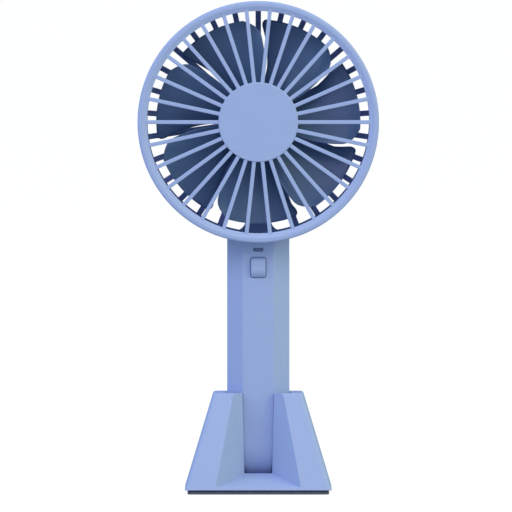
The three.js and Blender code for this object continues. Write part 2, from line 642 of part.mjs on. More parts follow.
// The base's leaning block between two heights, shrunk by an inset on every side.
function leaningBlock(z0, z1, inset, corner = BASE_CORNER) {
  const low = [0, 1].map((axis) => baseHalf(axis, z0) - inset);
  const high = [0, 1].map((axis) => baseHalf(axis, z1) - inset);
  const geometry = column(roundedRect(2 * low[0], 2 * low[1], corner), z0, z1);
  const position = geometry.attributes.position;
  for (let i = 0; i < position.count; i++) {
    const rise = (position.getZ(i) - z0) / (z1 - z0);
    const x = position.getX(i) * THREE.MathUtils.lerp(1, high[0] / low[0], rise);
    const y = position.getY(i) * THREE.MathUtils.lerp(1, high[1] / low[1], rise);
    position.setXY(i, x, y);
  }
  return solid(geometry);
}

// The hollow in the front face: four leaning sides that close in on the slot in front of the handle.
const SLOT_FOOT_Z = 8.3;
const HOLLOW_FOOT_Z = 2.9;
const HOLLOW_TOP_Z = BASE_Z1 + 3;
const SLOT_FRONT_Y = -HANDLE_DEPTH - SOCKET_CLEARANCE - SOCKET_WALL;
const slotHalf = (z) => 5.74 + 0.0247 * (z - SLOT_FOOT_Z);

// The slot through the socket's front wall, which shows the handle and narrows downwards.
function slot() {
  const corners = [SLOT_FOOT_Z, HOLLOW_TOP_Z].flatMap((z) =>
    [-1, 1].flatMap((side) =>
      [SLOT_FRONT_Y - 1, -HANDLE_DEPTH + 1].map((y) => new THREE.Vector3(side * slotHalf(z), y, z)),
    ),
  );
  return solid(new ConvexGeometry(corners));
}

function frontHollow(grow) {
  const mouthHalf = (z) => 17.7 - 0.197 * (z - HOLLOW_FOOT_Z) + grow;
  const slotPoint = (z) => new THREE.Vector3(slotHalf(z) + grow, SLOT_FRONT_Y, z);
  const inner = [SLOT_FOOT_Z, HOLLOW_TOP_Z].map(slotPoint);
  const mouthPoint = (z) => new THREE.Vector3(mouthHalf(z), -baseHalf(1, z), z);
  const outer = [HOLLOW_FOOT_Z, HOLLOW_TOP_Z].map(mouthPoint);
  inner[0].z -= grow;
  outer[0].z -= grow;
  const beyond = outer.map((point, i) => inner[i].clone().lerp(point, 1.3));
  const oneSide = [...inner, ...beyond];
  const otherSide = oneSide.map((point) => new THREE.Vector3(-point.x, point.y, point.z));
  return solid(new ConvexGeometry([...oneSide, ...otherSide]));
}

const [screwX, screwY] = BASE_SCREW_AT;
const baseCorners = [[-screwX, -screwY], [screwX, -screwY], [screwX, screwY], [-screwX, screwY]];

function baseShell() {
  const outside = leaningBlock(BASE_Z0, BASE_Z1, 0);
  const aroundSocket = handleSection(SOCKET_CLEARANCE + SOCKET_WALL);
  const socketWalls = solid(column(aroundSocket, SOCKET_FLOOR_Z - 1.5, BASE_Z1));
  const posts = baseCorners.map(([x, y]) => solid(upright(BASE_POST_R, PLATE_TOP_Z + GAP, 30, x, y)));
  const hollow = leaningBlock(BASE_Z0 - 1, BASE_Z1 - BASE_WALL, BASE_WALL, 1);
  const cavity = cut(hollow, socketWalls, frontHollow(SOCKET_WALL), ...posts);
  const socket = solid(column(handleSection(SOCKET_CLEARANCE), SOCKET_FLOOR_Z, BASE_Z1 + 1));
  const pilots = baseCorners.map(([x, y]) => solid(upright(PASSAGE_R + 0.1, PLATE_TOP_Z - 1, 13, x, y)));
  return cut(outside, cavity, socket, frontHollow(0), slot(), ...pilots);
}

function basePlate() {
  const sheet = leaningBlock(BASE_Z0 + 0.1, PLATE_TOP_Z, BASE_WALL + GAP, 1);
  const holes = baseCorners.flatMap(([x, y]) => [
    solid(upright(2.6, 0, BASE_Z0 + 1.6, x, y)),
    solid(upright(PASSAGE_R + 0.1, 0, PLATE_TOP_Z + 1, x, y)),
  ]);
  return cut(sheet, frontHollow(SOCKET_WALL + GAP), ...holes);
}

// A cast U round three sides of the socket, clear of the screw posts.
function ballast() {
  const arm = [HANDLE_HALF + SOCKET_CLEARANCE + SOCKET_WALL + 0.5, 24];
  const back = HANDLE_DEPTH + SOCKET_CLEARANCE + SOCKET_WALL + 0.4;
  const outline = polygon([
    [-arm[1], -17], [-arm[0], -17], [-arm[0], back], [arm[0], back], [arm[0], -17], [arm[1], -17],
    [arm[1], 17.4], [19.5, 17.4], [19.5, 22.8], [-19.5, 22.8], [-19.5, 17.4], [-arm[1], 17.4],
  ]);
  return column(outline, PLATE_TOP_Z + GAP, 15);
}

function footPad() {
  const inset = 1.2;
  const [x, y] = BASE_HALF;
  return column(roundedRect(2 * (x - inset), 2 * (y - inset), 2), 0, PAD_TOP_Z);
}

place(base, "base_shell", baseShell(), body);
place(base, "base_plate", basePlate(), body);
place(base, "ballast", ballast(), iron);
place(base, "foot_pad", footPad(), rubber);
baseCorners.forEach(([x, y], i) => {
  const screw = screwShape(2.2, 1.2, 1.1, 10).rotateX(-Math.PI / 2);
  place(base, `base_screw_${i + 1}`, screw, steel).position.set(x, y, BASE_Z0 + 0.2);
});

export default assembly;
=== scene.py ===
"""The looks of a handheld electric fan that stands in its desk base.

Sizes are in millimetres unless a comment says metres. mesh_object turns them into metres.
The frame is the CAD model's own: +Z up, the front is -Y, and the origin is on the table under the base.
"""

import json
from math import atan2, cos, pi, radians, sin, sqrt, tan

import bmesh
import bpy
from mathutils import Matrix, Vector


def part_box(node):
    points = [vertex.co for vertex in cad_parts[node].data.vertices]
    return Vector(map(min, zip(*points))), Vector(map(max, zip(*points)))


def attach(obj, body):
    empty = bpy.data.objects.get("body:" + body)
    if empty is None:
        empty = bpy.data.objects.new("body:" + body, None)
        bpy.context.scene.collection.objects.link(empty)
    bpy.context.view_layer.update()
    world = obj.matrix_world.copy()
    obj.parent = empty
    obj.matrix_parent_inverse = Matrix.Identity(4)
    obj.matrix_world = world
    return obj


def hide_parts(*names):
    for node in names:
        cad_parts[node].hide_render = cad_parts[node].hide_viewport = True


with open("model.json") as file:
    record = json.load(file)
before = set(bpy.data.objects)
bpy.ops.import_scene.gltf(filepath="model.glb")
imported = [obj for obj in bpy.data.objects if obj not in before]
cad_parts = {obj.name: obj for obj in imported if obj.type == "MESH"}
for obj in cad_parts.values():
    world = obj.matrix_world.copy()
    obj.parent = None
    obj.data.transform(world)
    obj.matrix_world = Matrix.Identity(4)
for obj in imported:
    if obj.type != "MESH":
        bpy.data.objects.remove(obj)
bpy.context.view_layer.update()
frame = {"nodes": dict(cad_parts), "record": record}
scene = bpy.context.scene
MM = 0.001  # metres in a millimetre

# ---- driving sizes, from the frame ----


def box_mm(node):
    """The low and high corners of a CAD node's box."""
    low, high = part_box(node)
    return low / MM, high / MM


grille_low, grille_high = box_mm("front_grille")
housing_low, housing_high = box_mm("head_housing")
handle_low, handle_high = box_mm("handle_front")
handle_rear_low = box_mm("handle_rear")[0]
button_low, button_high = box_mm("button_cap")
lens_low, lens_high = box_mm("light_pipe")
port_low, port_high = box_mm("charging_port")
base_low, base_high = box_mm("base_shell")
pad_high = box_mm("foot_pad")[1]
plate_high = box_mm("base_plate")[1]
impeller_low, impeller_high = box_mm("impeller")

HEAD_Z = (grille_low.z + grille_high.z) / 2
HEAD_R = (grille_high.x - grille_low.x) / 2
FRONT_Y = grille_low.y
OPENING_R = HEAD_R - 4  # the opening inside the rim, in front and at the back
DISC_R = 16.5
SEAM_Y = -10  # where the grille's rim meets the housing's drum
REAR_Y = 12  # the rear grille's outer face
DRUM_R = housing_high.x
DRUM_WALL = 1.7
CUP_R = 16.5  # the motor cup behind the impeller
CUP_WALL = 1.6
CUP_RIM_Y = 2.5
CUP_BACK_Y = housing_high.y
SPOKES = 30
SPOKE_WIDTH = 1.6
SPOKE_Y = (FRONT_Y + 0.5, FRONT_Y + 2.7)  # front face and back face
REAR_SPOKES = 27
REAR_SPOKE_WIDTH = 2.3
REAR_PITCH = 12.3  # degrees from one rear spoke to the next
REAR_SPOKE_Y = (REAR_Y - 2.4, REAR_Y)
RIB_HALF = 5.2  # the wide rib below the cup
RIB_FRONT_Y = 5.5
RIB_FLARE = 4.6  # how far the rib widens on each side where it meets the drum
CHANNEL_HALF = 2.3  # the tunnel for the motor leads inside the rib
CHANNEL_Y = (6.4, 9.5)
CHANNEL_MOUTH_Z = HEAD_Z - 21.5

HANDLE_HALF = handle_high.x
HANDLE_DEPTH = -handle_low.y
HANDLE_CHAMFER = HANDLE_HALF / 2
HANDLE_WALL = 1.6
HANDLE_FOOT_Z = handle_low.z
HANDLE_EDGE = 1.0
FOOT_ROUND = (6.5, 12)  # how far in and how far up the foot is rounded
SEAM = 0.05  # half the gap between the two handle shells, and between rim and drum
LIP_WALL = 0.7  # the lip that the rear shell has inside the front one along their seam
LIP_DEPTH = -handle_rear_low.y
LIP_FOOT_Z = 30
LIP_AIR = 0.15
BUTTON_FLANGE = 0.9
BUTTON_SIZE = (
    button_high.x - button_low.x - 2 * BUTTON_FLANGE,
    button_high.z - button_low.z - 2 * BUTTON_FLANGE,
)
BUTTON_Z = (button_high.z + button_low.z) / 2
BUTTON_RISE = -HANDLE_DEPTH - button_low.y  # how far the cap stands out at most
BUTTON_BACK_Y = 2 - HANDLE_DEPTH
BUTTON_STEM_R = 1.5
LENS_SIZE = (lens_high.x - lens_low.x, lens_high.z - lens_low.z)
LENS_Z = (lens_high.z + lens_low.z) / 2
PORT_SIZE = (port_high.x - port_low.x, port_high.z - port_low.z)
PORT_Z = (port_high.z + port_low.z) / 2
HANDLE_SCREW_Z = 11.8
HANDLE_SCREW_HEAD_Y = 10  # where its head lands, in a tower behind the rear wall
SCREW_BOSS_R = 2.4
SCREW_TOWER_R = 3.4
PILOT_R = 1.2
PASSAGE_R = 1.3
NECK_SCREW_AT = (5, 96.5)  # x on each side, and z
TONGUE_AIR = 0.3  # between the housing's tongue and the inside of the handle
TONGUE_HALF = 8
TONGUE_THICKNESS = 2.4

BLADES = 7
BLADE_PITCH = 360 / BLADES
BLADE_TIP_R = 42.5
BLADE_FRONT_Y = -14.3
BLADE_REAR_Y = -2.6
BLADE_THICKNESS = 1.2
BLADE_CAMBER = 0.9
BLADE_EDGE = 0.9  # how far in from its rim a blade is thinned and rounded
GAP_ANGLE = 30  # degrees, of the first gap between blades at the hub
GAP_LEAN = 8.8  # degrees that the gap leans over from LEAN_START_R to the tip
LEAN_START_R = 20
FRONT_CUT_R = 36  # where the front edge starts to be cut away towards the tip
TIP_ROUND = 3.6  # how far in from the tip the rear corner's round starts
HUB_R = 15.2
HUB_WALL = 1.2
HUB_FACE = 1.5
HUB_BOSS_R = 2.6
HUB_FRONT_Y = impeller_low.y
HUB_BOSS_Y = HUB_FRONT_Y + 4.5
HUB_BACK_Y = impeller_high.y
SHAFT_R = 1

BASE_HALF = (base_high.x, base_high.y)  # half the width and half the depth at the foot
BASE_TOP_HALF = (18.6, 18.5)
BASE_Z = (base_low.z, base_high.z)
BASE_CORNER = 1.8
BASE_WALL = 2
SOCKET_CLEARANCE = 0.4
SOCKET_WALL = 1.8
SOCKET_FLOOR_Z = HANDLE_FOOT_Z - 0.3
SLOT_FRONT_Y = -HANDLE_DEPTH - SOCKET_CLEARANCE - SOCKET_WALL
SLOT_FOOT_Z = 8.3
SLOT_FOOT_HALF = 5.74
SLOT_WIDENING = 0.0247  # on each side, for each millimetre up
HOLLOW_FOOT_Z = 2.9
HOLLOW_FOOT_HALF = 17.7
HOLLOW_NARROWING = 0.197  # on each side, for each millimetre up
HOLLOW_TOP_Z = base_high.z + 3
BASE_SCREW_AT = (23, 21)
BASE_POST_R = 2.6
SCREW_PASSAGE_R = 1.4


# ---- camera: far away in front and a little above, looking along +Y and slightly down ----
# All five are in metres.
CAMERA_DISTANCE = 8.0
CAMERA_HEIGHT = 0.322
CAMERA_X = -0.00094
VIEW_SPAN = 0.2125  # what the picture holds of the object's middle plane
VIEW_CENTRE_Z = 0.0980


def add_camera():
    data = bpy.data.cameras.new("camera")
    data.sensor_width = 36
    distance = sqrt(CAMERA_DISTANCE**2 + (CAMERA_HEIGHT - VIEW_CENTRE_Z) ** 2)
    data.lens = data.sensor_width * distance / VIEW_SPAN
    data.clip_end = 200
    camera = bpy.data.objects.new("camera", data)
    scene.collection.objects.link(camera)
    camera.location = (CAMERA_X, -CAMERA_DISTANCE, CAMERA_HEIGHT)
    down = atan2(CAMERA_HEIGHT - VIEW_CENTRE_Z, CAMERA_DISTANCE)
    camera.rotation_euler = (pi / 2 - down, 0, 0)
    scene.camera = camera


add_camera()


# ---- outlines ----
def rounded(corners, steps=5):
    """A closed outline through corners (a, b, radius), each rounded by its own radius."""
    outline = []
    for i, (a, b, radius) in enumerate(corners):
        here = Vector((a, b))
        if radius == 0:
            outline.append(here)
            continue
        before = (Vector(corners[i - 1][:2]) - here).normalized()
        after = (Vector(corners[(i + 1) % len(corners)][:2]) - here).normalized()
        half = before.angle(after) / 2
        centre = here + (before + after).normalized() * (radius / sin(half))
        start = here + before * (radius / tan(half)) - centre
        turn = (pi - 2 * half) * (1 if before.cross(after) < 0 else -1)
        for k in range(steps + 1):
            angle = turn * k / steps
            outline.append(centre + Vector((
                start.x * cos(angle) - start.y * sin(angle),
                start.x * sin(angle) + start.y * cos(angle),
            )))
    return outline


def rounded_rect(width, height, radius, steps=6):
    x, y = width / 2, height / 2
    return rounded([(x, -y, radius), (x, y, radius), (-x, y, radius), (-x, -y, radius)], steps)


def circle(radius, steps=48):
    turns = [2 * pi * k / steps for k in range(steps)]
    return [Vector((radius * cos(turn), radius * sin(turn))) for turn in turns]


def handle_section(offset, edge=HANDLE_EDGE, steps=5):
    """The handle's eight-sided section, grown or shrunk by an offset."""
    x = HANDLE_HALF + offset
    y = HANDLE_DEPTH + offset
    c = HANDLE_CHAMFER + offset * (2 - sqrt(2))
    right = [(x - c, -y), (x, c - y), (x, y - c), (x - c, y)]
    left = [(-a, b) for a, b in reversed(right)]
    return rounded([(a, b, edge) for a, b in right + left], steps)


def quarter(radius, steps=4):
    """Steps (inset, depth) of a quarter round, from one radius inside the edge to one radius deep."""
    if radius == 0:
        return [(0, 0)]
    return [
        (radius * (1 - sin(pi / 2 * k / steps)), radius * (1 - cos(pi / 2 * k / steps)))
        for k in range(steps + 1)
    ]


# ---- meshes ----
def mesh_object(name, vertices, faces):
    mesh = bpy.data.meshes.new(name)
    mesh.from_pydata([Vector(v) * MM for v in vertices], [], faces)
    b = bmesh.new()
    b.from_mesh(mesh)
    bmesh.ops.remove_doubles(b, verts=b.verts, dist=1e-7)
    bmesh.ops.recalc_face_normals(b, faces=b.faces)
    if b.calc_volume(signed=True) < 0:
        bmesh.ops.reverse_faces(b, faces=b.faces)
    b.to_mesh(mesh)
    b.free()
    obj = bpy.data.objects.new(name, mesh)
    scene.collection.objects.link(obj)
    return obj


def cap(start, count, thin):
    """The faces that close one ring. A thin ring, which may be curved, is closed across its thickness."""
    if not thin:
        return [tuple(range(start, start + count))]
    pairs = [(start + i, start + (count - i) % count) for i in range(count // 2 + 1)]
    return [tuple(dict.fromkeys((a, b, d, c))) for (a, c), (b, d) in zip(pairs, pairs[1:])]


def loft(name, rings, thin=False):
    """A closed solid skinned over rings of points, all with the same count, with both ends capped."""
    count = len(rings[0])
    vertices = [point for ring in rings for point in ring]
    faces = [
        (k * count + i, k * count + (i + 1) % count, (k + 1) * count + (i + 1) % count, (k + 1) * count + i)
        for k in range(len(rings) - 1)
        for i in range(count)
    ]
    faces += cap(0, count, thin) + cap((len(rings) - 1) * count, count, thin)
    return mesh_object(name, vertices, faces)


def stack(name, levels):
    """A solid from outlines in X and Y at heights: levels are (outline, z)."""
    return loft(name, [[(p.x, p.y, z) for p in outline] for outline, z in levels])


def row(name, levels, at=(0, 0)):
    """A solid from outlines in X and Z at depths: levels are (outline, y)."""
    return loft(name, [[(p.x + at[0], y, p.y + at[1]) for p in outline] for outline, y in levels])


def lathe(name, outline, centre=(0, 0, 0), segments=192):
    """A solid turned about the Y axis through a centre, from an outline of (radius, y).
    The outline closes on itself, or starts and ends on the axis."""
    closed = min(p[0] for p in outline) > 1e-6
    count = len(outline)
    vertices = []
    for k in range(segments):
        angle = 2 * pi * k / segments
        for radius, y in outline:
            vertices.append((centre[0] + radius * cos(angle), centre[1] + y, centre[2] + radius * sin(angle)))
    faces = []
    for k in range(segments):
        here = k * count
        there = (k + 1) % segments * count
        for i in range(count if closed else count - 1):
            j = (i + 1) % count
            corners = [here + i, here + j, there + j, there + i]
            if outline[i][0] < 1e-6:
                corners = corners[:3]
            elif outline[j][0] < 1e-6:
                corners = [here + i, here + j, there + i]
            faces.append(corners)
    return mesh_object(name, vertices, faces)


def applied(obj):
    """Turns an object's modifiers into its mesh."""
    bpy.context.view_layer.update()
    evaluated = obj.evaluated_get(bpy.context.evaluated_depsgraph_get())
    mesh = bpy.data.meshes.new_from_object(evaluated)
    obj.modifiers.clear()
    obj.data = mesh
    return obj


def merged(objects):
    """Several objects' meshes in the first of them, without joining their surfaces."""
    first = objects[0]
    b = bmesh.new()
    for obj in objects:
        b.from_mesh(obj.data)
    b.to_mesh(first.data)
    b.free()
    for obj in objects[1:]:
        bpy.data.objects.remove(obj)
    return first


def boolean(obj, others, operation):
    tool = merged(list(others))
    modifier = obj.modifiers.new("boolean", "BOOLEAN")
    modifier.operation = operation
    modifier.solver = "EXACT"
    modifier.object = tool
    applied(obj)
    bpy.data.objects.remove(tool)
    return obj


def union(obj, *others):
    return boolean(obj, others, "UNION")


def cut(obj, *others):
    return boolean(obj, others, "DIFFERENCE")


def overlap(obj, *others):
    return boolean(obj, others, "INTERSECT")


def block(name, low, high):
    (x0, y0, z0), (x1, y1, z1) = low, high
    outline = [Vector(p) for p in ((x0, y0), (x1, y0), (x1, y1), (x0, y1))]
    return stack(name, [(outline, z0), (outline, z1)])


def soften(obj, width, angle=25, segments=2, only=None):
    """Rounds the sharp edges of a mesh, or those of them that a test on their middle accepts."""
    b = bmesh.new()
    b.from_mesh(obj.data)
    bmesh.ops.dissolve_limit(b, angle_limit=radians(0.5), verts=b.verts, edges=b.edges)
    sharp = [
        e for e in b.edges
        if len(e.link_faces) == 2
        and e.calc_face_angle(0) > radians(angle)
        and (only is None or only((e.verts[0].co + e.verts[1].co) / (2 * MM)))
    ]
    bmesh.ops.bevel(
        b, geom=sharp, offset=width * MM, segments=segments, profile=0.5, affect="EDGES", clamp_overlap=True
    )
    b.to_mesh(obj.data)
    b.free()
    return obj


# ---- materials ----
class Nodes:
    """Short ways to build one material's node tree."""

    def __init__(self, name):
        self.material = bpy.data.materials.new(name)
        self.material.use_nodes = True
        self.tree = self.material.node_tree
        self.shader = self.tree.nodes["Principled BSDF"]
        self.place = self.add("ShaderNodeTexCoord").outputs["Object"]

    def add(self, kind, **settings):
        node = self.tree.nodes.new(kind)
        for key, value in settings.items():
            if key in node.inputs:
                node.inputs[key].default_value = value
            else:
                setattr(node, key, value)
        return node

    def link(self, source, target):
        self.tree.links.new(source, target)

    def noise(self, scale, detail=3.0, stretch=None):
        """Noise with features about 1 / scale metres across, drawn out along an axis by stretch."""
        place = self.place
        if stretch:
            mapping = self.add("ShaderNodeMapping")
            mapping.inputs["Scale"].default_value = stretch
            self.link(self.place, mapping.inputs["Vector"])
            place = mapping.outputs["Vector"]
        node = self.add("ShaderNodeTexNoise", Scale=scale, Detail=detail)
        self.link(place, node.inputs["Vector"])
        return node.outputs["Fac"]

    def ramp(self, factor, low, high, start=0.3, end=0.7):
        """A colour from low to high as the factor goes from start to end."""
        node = self.add("ShaderNodeValToRGB")
        node.color_ramp.elements[0].position = start
        node.color_ramp.elements[1].position = end
        node.color_ramp.elements[0].color = (*low, 1)
        node.color_ramp.elements[1].color = (*high, 1)
        self.link(factor, node.inputs["Fac"])
        return node.outputs["Color"]

    def spread(self, factor, low, high):
        """A number from low to high as the factor goes from 0.3 to 0.7."""
        node = self.add("ShaderNodeMapRange")
        node.inputs["From Min"].default_value = 0.3
        node.inputs["From Max"].default_value = 0.7
        node.inputs["To Min"].default_value = low
        node.inputs["To Max"].default_value = high
        self.link(factor, node.inputs["Value"])
        return node.outputs["Result"]

    def bump(self, height, distance, strength=1.0, under=None):
        node = self.add("ShaderNodeBump", Strength=strength, Distance=distance)
        self.link(height, node.inputs["Height"])
        if under is not None:
            self.link(under, node.inputs["Normal"])
        return node.outputs["Normal"]


def shade(colour, amount):
    """A colour made lighter or darker by a share of itself."""
    return tuple(min(1, c * (1 + amount)) for c in colour)


def moulded(name, colour, roughness, grain=2600, depth=0.000004, mottle=0.015, gloss=0.5):
    """Moulded plastic: faint mottling, a fine spark-eroded grain and a slow change in how satin it is."""
    n = Nodes(name)
    tone = n.ramp(n.noise(90, 4), shade(colour, -mottle), shade(colour, mottle))
    n.link(tone, n.shader.inputs["Base Color"])
    n.link(n.spread(n.noise(160, 2), roughness - 0.03, roughness + 0.03), n.shader.inputs["Roughness"])
    broad = n.bump(n.noise(120, 2), 0.00002, 0.25)
    n.link(n.bump(n.noise(grain, 2), depth, 0.6, broad), n.shader.inputs["Normal"])
    n.shader.inputs["Specular IOR Level"].default_value = gloss
    return n.material


def metal(name, colour, roughness, stretch=(1, 1, 1), scale=700, depth=0.000003):
    """Metal with fine marks drawn out along one axis, and duller patches."""
    n = Nodes(name)
    marks = n.noise(scale, 4, stretch)
    n.link(n.ramp(n.noise(180, 3), shade(colour, -0.12), shade(colour, 0.08)), n.shader.inputs["Base Color"])
    n.link(n.spread(marks, roughness - 0.08, roughness + 0.1), n.shader.inputs["Roughness"])
    n.link(n.bump(marks, depth, 0.5), n.shader.inputs["Normal"])
    n.shader.inputs["Metallic"].default_value = 1
    return n.material


def rubber_like(name, colour, roughness, scale, depth):
    """Rubber or foam: a pebbled surface with painted shade. Its colour follows the bump, darker in the
    hollows and lighter on the tops.
    """
    n = Nodes(name)
    pebble = n.noise(scale, 5)
    # painted shade: the same noise as the bump darkens the hollows and lightens the tops
    n.link(n.ramp(pebble, shade(colour, -0.3), shade(colour, 0.2)), n.shader.inputs["Base Color"])
    n.link(n.spread(n.noise(200, 2), roughness - 0.05, roughness + 0.05), n.shader.inputs["Roughness"])
    n.link(n.bump(pebble, depth, 0.7), n.shader.inputs["Normal"])
    return n.material


def windings(name, colour):
    """Enamelled wire wound in rows across the coil, with painted shade between the rows: the colour darkens
    where the bump dips and lightens on the wires' tops.
    """
    n = Nodes(name)
    rows = n.add("ShaderNodeTexWave", wave_type="BANDS", bands_direction="Y", Scale=420, Distortion=0.6)
    n.link(n.place, rows.inputs["Vector"])
    # painted shade: the bands that give the bump also darken the colour between the wires and lighten it on
    # their tops
    tone = n.ramp(rows.outputs["Fac"], shade(colour, -0.5), shade(colour, 0.2))
    n.link(tone, n.shader.inputs["Base Color"])
    n.link(n.bump(rows.outputs["Fac"], 0.00008), n.shader.inputs["Normal"])
    n.shader.inputs["Metallic"].default_value = 0.8
    n.shader.inputs["Roughness"].default_value = 0.35
    return n.material


def circuit_board(name, colour):
    """Solder mask over copper tracks that show through as slightly lighter, raised bands."""
    n = Nodes(name)
    cells = n.add("ShaderNodeTexBrick", Scale=260, offset=0.5)
    for socket, value in (("Color1", 0.0), ("Color2", 0.35), ("Mortar", 1.0)):
        cells.inputs[socket].default_value = (value, value, value, 1)
    cells.inputs["Mortar Size"].default_value = 0.08
    n.link(n.place, cells.inputs["Vector"])
    tone = n.ramp(cells.outputs["Color"], colour, shade(colour, 0.9), 0.2, 0.9)
    n.link(tone, n.shader.inputs["Base Color"])
    n.link(n.bump(cells.outputs["Fac"], 0.00003), n.shader.inputs["Normal"])
    n.shader.inputs["Roughness"].default_value = 0.3
    return n.material


SHELL_COLOUR = (0.27, 0.36, 0.62)
materials = {
    "shell": moulded("periwinkle_satin_plastic", SHELL_COLOUR, 0.5, gloss=0.4),
    "impeller": moulded("navy_plastic", (0.075, 0.145, 0.28), 0.46, grain=1800, mottle=0.05),
    "rubber": rubber_like("grey_rubber", (0.1, 0.12, 0.175), 0.85, 1500, 0.00008),
    "lens": moulded("smoked_lens", (0.08, 0.12, 0.26), 0.14, depth=0.000001, mottle=0.05),
    "steel": metal("plated_steel", (0.55, 0.56, 0.58), 0.32, (1, 8, 1)),
    "iron": metal("dull_iron", (0.1, 0.1, 0.11), 0.6, scale=350, depth=0.00001),
    "ferrite": rubber_like("ferrite", (0.04, 0.04, 0.045), 0.55, 900, 0.00002),
    "copper": windings("copper_windings", (0.5, 0.17, 0.06)),
    "brass": metal("turned_brass", (0.55, 0.4, 0.12), 0.3, (8, 1, 8)),
    "circuit_board": circuit_board("green_solder_mask", (0.012, 0.13, 0.05)),
    "cell_wrap": moulded("blue_shrink_wrap", (0.05, 0.2, 0.45), 0.28, grain=400, depth=0.00002),
    "foam": rubber_like("pale_foam", (0.7, 0.68, 0.62), 0.9, 1100, 0.0001),
    "wire_red": moulded("red_insulation", (0.45, 0.03, 0.02), 0.4),
    "wire_black": moulded("black_plastic", (0.016, 0.016, 0.02), 0.4),
}

for part in frame["record"]["subparts"]:
    node = frame["nodes"][part["node"]]
    node.data.materials.clear()
    node.data.materials.append(materials[part["material_slot"]])


def piece(obj, body, slot, *nodes):
    """Gives a finished mesh its shading, material and body, and the CAD nodes that it stands for."""
    mesh = obj.data
    mesh.shade_smooth()
    mesh.set_sharp_from_angle(angle=radians(32))
    weighted = obj.modifiers.new("weighted_normals", "WEIGHTED_NORMAL")
    weighted.keep_sharp = True
    weighted.weight = 60
    applied(obj)
    obj.data.materials.clear()
    obj.data.materials.append(materials[slot])
    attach(obj, body)
    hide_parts(*nodes)
    return obj


# ---- head ----
HEAD = (0, 0, HEAD_Z)


def bar(name, angle, reach, half, depth, flare, edge=0.25):
    """A straight spoke with rounded edges, from one radius to another, that widens where it meets
    what holds it. angle is counted from +X towards +Z, and reach and depth are (start, end)."""
    flared = quarter(flare, 4)
    stations = [(reach[0] + along, half + inset) for inset, along in flared]
    stations += [(reach[1] - along, half + inset) for inset, along in reversed(flared)]
    direction = Vector((cos(radians(angle)), 0, sin(radians(angle))))
    across = Vector((-direction.z, 0, direction.x))
    height = depth[1] - depth[0]
    middle = (depth[0] + depth[1]) / 2
    rings = []
    for radius, wide in stations:
        outline = rounded_rect(2 * wide, height, edge, 3)
        rings.append([
            direction * radius + across * p.x + Vector((0, middle + p.y, HEAD_Z)) for p in outline
        ])
    return loft(name, rings)


def front_grille():
    """The rim, with a spigot that reaches into the drum, thirty spokes and the centre disc."""
    slope_width, slope_depth = 2.1, 0.8  # the rim's inner slope
    edge = 0.8
    spigot_y, spigot_in, spigot_out = SEAM_Y + 3, OPENING_R + 0.6, OPENING_R + 1.6
    rim = lathe("front_grille_moulding", rounded([
        (OPENING_R, FRONT_Y + slope_depth, 0.25), (OPENING_R + slope_width, FRONT_Y, edge),
        (HEAD_R, FRONT_Y, edge), (HEAD_R, SEAM_Y - SEAM, 0.2),
        (spigot_out, SEAM_Y - SEAM, 0), (spigot_out, spigot_y, 0.1),
        (spigot_in, spigot_y, 0.1), (spigot_in, SPOKE_Y[1], 0.1), (OPENING_R, SPOKE_Y[1], 0.2),
    ]), HEAD)
    disc_y, disc_back_y, disc_hollow_r = FRONT_Y + 0.2, FRONT_Y + 1.9, DISC_R - 1.4
    disc = lathe("disc", [(0, disc_y)] + rounded([
        (DISC_R, disc_y, 0.45), (DISC_R, SPOKE_Y[1], 0.2),
        (disc_hollow_r, SPOKE_Y[1], 0.1), (disc_hollow_r, disc_back_y, 0.2), (0, disc_back_y, 0),
        (0, disc_y, 0),
    ])[:-1], HEAD)
    reach = (DISC_R - 0.2, OPENING_R + 0.9)
    flare = 0.45
    spokes = [
        bar(f"spoke_{i}", i * 360 / SPOKES, reach, SPOKE_WIDTH / 2, SPOKE_Y, flare) for i in range(SPOKES)
    ]
    union(rim, *spokes)
    union(rim, disc)
    return piece(rim, "fan_body", "shell", "front_grille")


def rib_outline():
    """The wide rib under the motor, flaring into the drum with a hollow fillet on each side."""
    bottom = -OPENING_R - 1
    fillet_foot = bottom + 1.3
    right = [(RIB_HALF, -CUP_R + 1.5)]
    steps = 10
    for k in range(steps + 1):
        angle = pi / 2 * k / steps
        right.append((RIB_HALF + RIB_FLARE * (1 - cos(angle)), fillet_foot + RIB_FLARE * (1 - sin(angle))))
    right.append((RIB_HALF + RIB_FLARE, bottom))
    left = [(-x, z) for x, z in reversed(right)]
    return [Vector(p) for p in right + left]


